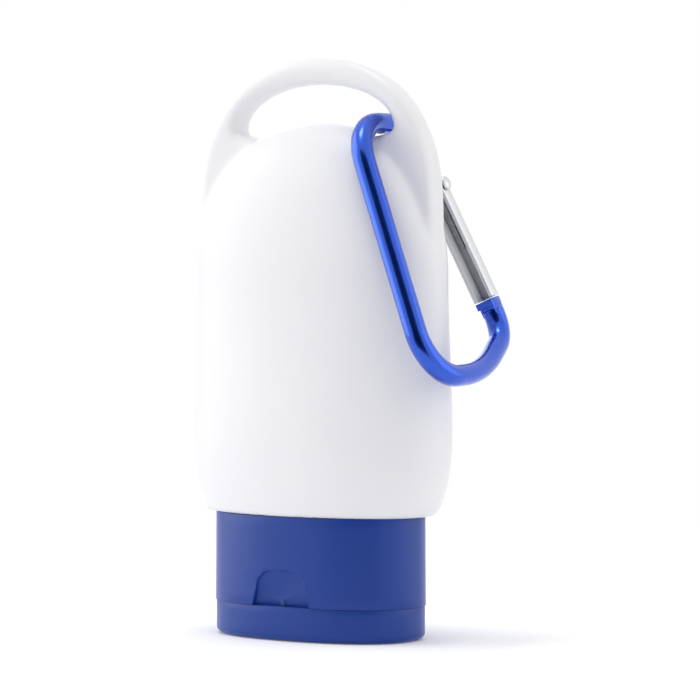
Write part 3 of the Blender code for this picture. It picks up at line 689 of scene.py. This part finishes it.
def paintGateInsideShadeAndLight(material):
    # Painted shade darkens the web inside the folded gate, and painted light makes its walls' inner
    # faces pale and less metallic
    s = sheetLook
    tree = material.node_tree
    shader = tree.nodes["Principled BSDF"]
    coords = addNode(tree, "ShaderNodeTexCoord").outputs["Object"]
    split = addNode(tree, "ShaderNodeSeparateXYZ", links={"Vector": coords})
    away = addNode(tree, "ShaderNodeMath", {"operation": "ABSOLUTE"}, {0: split.outputs["X"]})
    wallAt, webAt = gate["wide"] / 2 - gate["sheet"], gate["deep"] / 2 - gate["sheet"]
    masks = {}
    for name, source, face, before in (("betweenWalls", away.outputs["Value"], wallAt, 1.0),
                                       ("atWalls", away.outputs["Value"], wallAt, 1.0),
                                       ("nearWeb", split.outputs["Y"], webAt, 0.0),
                                       ("pastWeb", split.outputs["Y"], webAt, 1.0)):
        start, end = s[name]
        masks[name] = addNode(tree, "ShaderNodeMapRange", {
            "From Min": face + start, "From Max": face + end,
            "To Min": before, "To Max": 1 - before}, {"Value": source}).outputs["Result"]
    web = addNode(tree, "ShaderNodeMath", {"operation": "MULTIPLY"},
                  {0: masks["nearWeb"], 1: masks["pastWeb"]})
    web = addNode(tree, "ShaderNodeMath", {"operation": "MULTIPLY"},
                  {0: web.outputs["Value"], 1: masks["betweenWalls"]})
    wall = addNode(tree, "ShaderNodeMath", {"operation": "SUBTRACT", "use_clamp": True},
                   {0: masks["atWalls"], 1: masks["betweenWalls"]})
    # Painted shade: the web is mixed towards a darker grey
    paintedWebShade = addNode(tree, "ShaderNodeMix", {
        "data_type": "RGBA", mixA: linear(s["hex"]), mixB: linear(s["webShadeHex"])},
        {mixFactor: web.outputs["Value"]})
    # Painted light: the walls' inner faces are mixed towards near white
    paintedWallLight = addNode(tree, "ShaderNodeMix", {"data_type": "RGBA", mixB: linear(s["wallLightHex"])},
                   {mixFactor: wall.outputs["Value"], mixA: paintedWebShade.outputs[mixResult]})
    tree.links.new(paintedWallLight.outputs[mixResult], shader.inputs["Base Color"])
    # The walls' inner faces are also made less metallic, so that they catch more light
    metallic = addNode(tree, "ShaderNodeMapRange", {"To Min": 1.0, "To Max": s["wallMetallic"]},
                       {"Value": wall.outputs["Value"]})
    tree.links.new(metallic.outputs["Result"], shader.inputs["Metallic"])


anodised = makeMetal("blueAnodisedAluminium", anodisedLook)
sheetMetal = makeMetal("rolledAluminium", sheetLook)
# Painted shade on the gate's web and painted light on its walls' inner faces
paintGateInsideShadeAndLight(sheetMetal)
springSteel = makeMetal("springSteel", wireLook)
print("metals made")


def bentPath(corners, radii, bendSteps, straightStep):
    # A line through the corners, each bent to its radius
    points = [corners[0]]
    for before, corner, after, radius in zip(corners, corners[1:], corners[2:], radii):
        u, v = (before - corner).normalized(), (after - corner).normalized()
        half = u.angle(v) / 2
        centre = corner + (u + v).normalized() * radius / math.sin(half)
        start = corner + u * radius / math.tan(half) - centre
        end = corner + v * radius / math.tan(half) - centre
        sweep = start.angle(end)
        for k in range(bendSteps + 1):
            t = k / bendSteps
            spoke = start * math.sin((1 - t) * sweep) + end * math.sin(t * sweep)
            points.append(centre + spoke / math.sin(sweep))
    points.append(corners[-1])
    # Even steps on the straight runs
    spread = [points[0]]
    for a, b in zip(points, points[1:]):
        pieces = max(1, round((b - a).length / straightStep))
        spread += [a + (b - a) * (k + 1) / pieces for k in range(pieces)]
    return spread


def rodStations(points, radius, chamfer):
    # Place, direction and radius along the rod, with chamfered ends
    first, last = (points[1] - points[0]).normalized(), (points[-1] - points[-2]).normalized()
    stations = [(points[0], first, radius - chamfer),
                (points[0] + first * chamfer, first, radius)]
    for before, point, after in zip(points, points[1:], points[2:]):
        direction = ((after - point).normalized() + (point - before).normalized()).normalized()
        stations.append((point, direction, radius))
    return stations + [(points[-1] - last * chamfer, last, radius),
                       (points[-1], last, radius - chamfer)]


def rodShape(points, radius, sides, chamfer):
    # Round rod with UVs in metres, across its round and along it
    bm = bmesh.new()
    uvLayer = bm.loops.layers.uv.new("rodUv")
    sideAxis = Vector((1, 0, 0))
    stations = rodStations(points, radius, chamfer)
    rings, along = [], [0.0]
    for i, (point, direction, r) in enumerate(stations):
        other = direction.cross(sideAxis).normalized()
        turns = [2 * math.pi * k / sides for k in range(sides)]
        rings.append([bm.verts.new(point + sideAxis * r * math.cos(turn)
                                   + other * r * math.sin(turn)) for turn in turns])
        if i:
            along.append(along[-1] + (point - stations[i - 1][0]).length)
    sideWide = 2 * math.pi * radius / sides
    for row, (low, high) in enumerate(zip(rings, rings[1:])):
        for i in range(sides):
            j = (i + 1) % sides
            face = bm.faces.new((low[i], low[j], high[j], high[i]))
            corners = ((i, row), (i + 1, row), (i + 1, row + 1), (i, row + 1))
            for loop, (across, level) in zip(face.loops, corners):
                loop[uvLayer].uv = (across * sideWide, along[level])
    bm.faces.new(rings[0][::-1])
    bm.faces.new(rings[-1])
    return bm


def ringCorners():
    # From the hinge end over the top, down the spine and along the base and toe to the nose
    s = ring
    top = s["top"] / 2
    spine, base, toeTurn = (math.radians(s[key]) for key in ("spineFlare", "baseSlope", "toeSlope"))
    downGate = Vector((0, math.sin(gateTilt), -math.cos(gateTilt)))
    downSpine = Vector((0, -math.sin(spine), -math.cos(spine)))
    alongToe = Vector((0, -math.cos(toeTurn), -math.sin(toeTurn)))
    alongBase = Vector((0, -math.cos(base), -math.sin(base)))
    toeBend, noseBend = s["bends"][3:]
    noseReach = noseBend / math.tan((-downGate).angle(alongToe) / 2)
    toeReach = toeBend / math.tan((-alongToe).angle(alongBase) / 2)
    nose = pinAt + downGate * (noseShoulder + s["noseStraight"] + noseReach)
    toe = nose + alongToe * (noseReach + s["toeStraight"] + toeReach)
    spineTop = Vector((0, -top, 0))
    # The spine's lower corner is where its line meets the base's
    toToe = toe - spineTop
    across = downSpine.y * alongBase.z - downSpine.z * alongBase.y
    down = toToe.y * alongBase.z - toToe.z * alongBase.y
    spineBase = spineTop + downSpine * down / across
    return [gateInRing @ Vector((0, 0, gate["deep"] / 2 + partGap)), Vector((0, top, 0)),
            spineTop, spineBase, toe, nose, gateInRing @ Vector((0, 0, -noseShoulder))]


def pinHole():
    # Drilled right through, a gap wider than the pin
    holeR = gate["pinR"] + partGap
    return lathe([(holeR, -gate["wide"]), (holeR, gate["wide"])], gate["holeSides"], "X")


def makeRing():
    s = ring
    path = bentPath(ringCorners(), s["bends"], s["bendSteps"], s["straightStep"])
    rod = rodShape(path, s["rodR"], s["sides"], s["rodChamfer"])
    piece = makeObject("carabinerRod", rod)
    # Milled tab for the gate's hinge, rounded about the pin
    thick, deep, above = s["tab"]
    side = [(deep / 2, above), (-deep / 2, above)] + halfRound(deep / 2, first=1, steps=16)
    join(piece, makeObject("tab", extrudeX(side, thick / 2), gateInRing))
    # Nose: a milled neck and a head whose lug catches the gate
    headTop = -gate["long"] - partGap
    neckLow = -noseShoulder - s["rodR"] / 2
    wide, deep, _ = s["neck"]
    neck = block((-wide / 2, -deep / 2, neckLow), (wide / 2, deep / 2, headTop))
    join(piece, makeObject("neck", neck, gateInRing))
    wide, deep, tall = s["head"]
    head = block((-wide / 2, -(deep + s["lug"]) / 2, headTop - tall),
                 (wide / 2, (deep - s["lug"]) / 2, headTop))
    join(piece, makeObject("head", head, gateInRing))
    join(piece, makeObject("hole", pinHole(), gateInRing), "DIFFERENCE")
    softenEdges(piece, s["edge"], s["edgeAngle"])
    piece.matrix_world = ringPlace
    dress(piece, anodised, "carabiner", ["carabiner_body"])


def makeGate(steps=12):
    # A channel folded from sheet, rounded at its hinge end and open there for the tab
    s = gate
    half, front, back = s["wide"] / 2, -s["deep"] / 2, s["deep"] / 2
    inner = half - s["sheet"]
    outline = [(inner, front), (half, front)] + roundedTop(half, back, s["round"], steps=8)
    outline += [(-half, front), (-inner, front)]
    outline += roundedTop(inner, back - s["sheet"], s["innerRound"], steps=4, sides=(-1, 1))
    levels = [-s["long"] + (s["long"] + back) * k / steps for k in range(steps + 1)]
    channel = stack([[Vector((x, y, z)) for x, y in outline] for z in levels])
    piece = makeObject("gateChannel", channel)
    side = [(front, -s["long"]), (back, -s["long"])] + halfRound(back, first=0, steps=20)
    join(piece, makeObject("ears", extrudeX(side, s["wide"])), "INTERSECT")
    web = block((-inner, 0, -s["webBelow"]), (inner, s["wide"], s["wide"]))
    join(piece, makeObject("web", web), "DIFFERENCE")
    join(piece, makeObject("hole", pinHole()), "DIFFERENCE")
    softenEdges(piece, s["edge"], s["edgeAngle"])
    piece.matrix_world = gatePlace
    dress(piece, sheetMetal, "gate", ["carabiner_gate"])


def makeRivet(headSteps=8):
    # Shank with two spun heads
    s = gate
    reach = s["wide"] / 2 + partGap
    edgeIn, edgeTall = s["headEdge"]
    right = [(s["pinR"], reach), (s["headR"] - edgeIn, reach), (s["headR"], reach + edgeTall)]
    for k in range(1, headSteps):
        turn = quarterTurn * k / headSteps
        right.append((s["headR"] * math.cos(turn),
                      reach + edgeTall + (s["headTall"] - edgeTall) * math.sin(turn)))
    profile = [(r, -x) for r, x in reversed(right)] + right
    piece = makeObject("gateRivet", lathe(profile, s["rivetSides"], "X"), gatePlace)
    dress(piece, sheetMetal, "gate", ["gate_rivet"])


def makeSpring(steps=30):
    # A leaf of wire from the tab to the inside of the gate's web
    s = gate
    start = -ring["tab"][1] / 2 - partGap
    back = s["deep"] / 2 - s["sheet"] - s["wireR"] - partGap
    points = []
    for k in range(steps + 1):
        t = k / steps
        points.append(Vector((0, back * (1 - math.cos(math.pi * t)) / 2,
                              start - s["springLong"] * t)))
    wire = rodShape(points, s["wireR"], s["wireSides"], s["wireChamfer"])
    piece = makeObject("gateSpring", wire, gatePlace)
    dress(piece, springSteel, "gate", ["gate_spring"])


makeRing()
makeGate()
makeRivet()
makeSpring()
print("carabiner made")


# The floor, the light and the camera; lengths in metres, turns in degrees, lamps in watts
studio = {
    "floorHex": "#F7F7F8", "floorZ": -0.0001, "floorFade": (0.13, 0.30), "floorGlow": 0.1,
    "floorSides": 64,
    "ambient": 0.775, "cardHex": "#1A1A1E", "cardWide": 1.3, "cardZ": (-0.25, 1.3),
    "cardAway": 1.0, "cardTurn": 27,
    # Place, height of the point aimed at, size and power
    "lamps": {
        "keyLeft": ((-0.75, -0.35, 0.35), 0.06, (0.75, 0.9), 3.05),
        "backLeft": ((-0.55, 0.65, 0.3), 0.06, (0.5, 0.8), 1.2),
        "fillRight": ((0.85, 0.45, 0.3), 0.06, (0.7, 0.8), 1.4),
        "topSoft": ((-0.05, -0.1, 0.9), 0.05, (0.22, 0.3), 1.4),
    },
    "cameraPlace": (0.3728, -0.5324, 0.072), "cameraYaw": 34.52, "cameraPitch": 1.78,
    "sensor": 36, "lens": 184.3, "nearest": 0.01,
}


def whiteRays(tree):
    # 1 for the rays that see the white round the object, directly, in gloss or through it
    path = addNode(tree, "ShaderNodeLightPath")
    seen = path.outputs["Is Camera Ray"]
    for kind in ("Is Glossy Ray", "Is Transmission Ray"):
        seen = addNode(tree, "ShaderNodeMath", {"operation": "MAXIMUM"},
                       {0: seen, 1: path.outputs[kind]}).outputs["Value"]
    return seen


def paleStage():
    # A pale disc that fades out into the white around it, so that it has no edge and keeps
    # the shadow
    near, far = studio["floorFade"]
    material = bpy.data.materials.new("paleFloor")
    material.use_nodes = True
    tree = material.node_tree
    tree.nodes.clear()
    glow = addNode(tree, "ShaderNodeMath", {"operation": "MULTIPLY", 1: studio["floorGlow"]},
                   {0: whiteRays(tree)})
    shine = addNode(tree, "ShaderNodeEmission", links={"Strength": glow.outputs["Value"]})
    paint = addNode(tree, "ShaderNodeBsdfDiffuse", {"Color": linear(studio["floorHex"])})
    both = addNode(tree, "ShaderNodeAddShader", links={0: paint.outputs[0], 1: shine.outputs[0]})
    coords = addNode(tree, "ShaderNodeTexCoord").outputs["Object"]
    reach = addNode(tree, "ShaderNodeVectorMath", {"operation": "LENGTH"}, {0: coords})
    fade = addNode(tree, "ShaderNodeMapRange", {
        "interpolation_type": "SMOOTHSTEP", "From Min": near, "From Max": far},
        {"Value": reach.outputs["Value"]})
    gone = addNode(tree, "ShaderNodeBsdfTransparent")
    mixed = addNode(tree, "ShaderNodeMixShader", links={
        0: fade.outputs["Result"], 1: both.outputs[0], 2: gone.outputs[0]})
    addNode(tree, "ShaderNodeOutputMaterial", links={"Surface": mixed.outputs[0]})
    bm = bmesh.new()
    edge = ovalPoints(far, far, 2, studio["floorSides"], studio["floorZ"])
    bm.faces.new([bm.verts.new(p) for p in edge])
    floor = makeObject("floor", bm)
    floor.data.materials.append(material)
    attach(floor, "cap")  # the cap stands on it, so it goes down with the cap that is pulled off


def darkCard():
    # The dim side of the studio behind the camera, which only shiny pieces show
    s = studio
    half = s["cardWide"] / 2
    low, high = s["cardZ"]
    bm = bmesh.new()
    bm.faces.new([bm.verts.new(p) for p in ((-half, 0, low), (half, 0, low),
                                            (half, 0, high), (-half, 0, high))])
    place = (Matrix.Rotation(math.radians(s["cardTurn"]), 4, "Z")
             @ Matrix.Translation((0, -s["cardAway"], 0)))
    card = makeObject("dimCard", bm, place)
    settings = {"Base Color": linear(s["cardHex"]), "Roughness": 1.0}
    card.data.materials.append(startMaterial("dimCard", settings)[0])
    card.visible_camera = card.visible_diffuse = False
    card.visible_shadow = card.visible_transmission = False


def paleWorld():
    # White where it is seen, and dimmer as light on the object
    world = bpy.data.worlds.new("studio")
    bpy.context.scene.world = world
    world.use_nodes = True
    tree = world.node_tree
    back = tree.nodes["Background"]
    back.inputs["Color"].default_value = (1, 1, 1, 1)
    level = addNode(tree, "ShaderNodeMapRange", {"To Min": studio["ambient"], "To Max": 1.0},
                    {"Value": whiteRays(tree)})
    tree.links.new(level.outputs["Result"], back.inputs["Strength"])


def softLight(name, place, aimZ, size, watts):
    lamp = bpy.data.lights.new(name, "AREA")
    lamp.shape = "RECTANGLE"
    lamp.size, lamp.size_y = size
    lamp.energy = watts
    light = bpy.data.objects.new(name, lamp)
    bpy.context.scene.collection.objects.link(light)
    light.location = place
    aim = Vector((0, 0, aimZ)) - Vector(place)
    light.rotation_euler = aim.to_track_quat("-Z", "Y").to_euler()


def placeCamera():
    s = studio
    camera = bpy.data.objects.new("camera", bpy.data.cameras.new("camera"))
    bpy.context.scene.collection.objects.link(camera)
    camera.location = s["cameraPlace"]
    yaw, pitch = math.radians(s["cameraYaw"]), math.radians(s["cameraPitch"])
    looking = Vector((-math.sin(yaw) * math.cos(pitch), math.cos(yaw) * math.cos(pitch),
                      -math.sin(pitch)))
    camera.rotation_euler = looking.to_track_quat("-Z", "Y").to_euler()
    camera.data.sensor_width = s["sensor"]
    camera.data.lens = s["lens"]
    camera.data.clip_start = s["nearest"]
    bpy.context.scene.camera = camera


paleStage()
darkCard()
paleWorld()
for lampName, lampSettings in studio["lamps"].items():
    softLight(lampName, *lampSettings)
placeCamera()
bpy.context.scene.view_settings.view_transform = "Standard"
print("floor, lights and camera set")
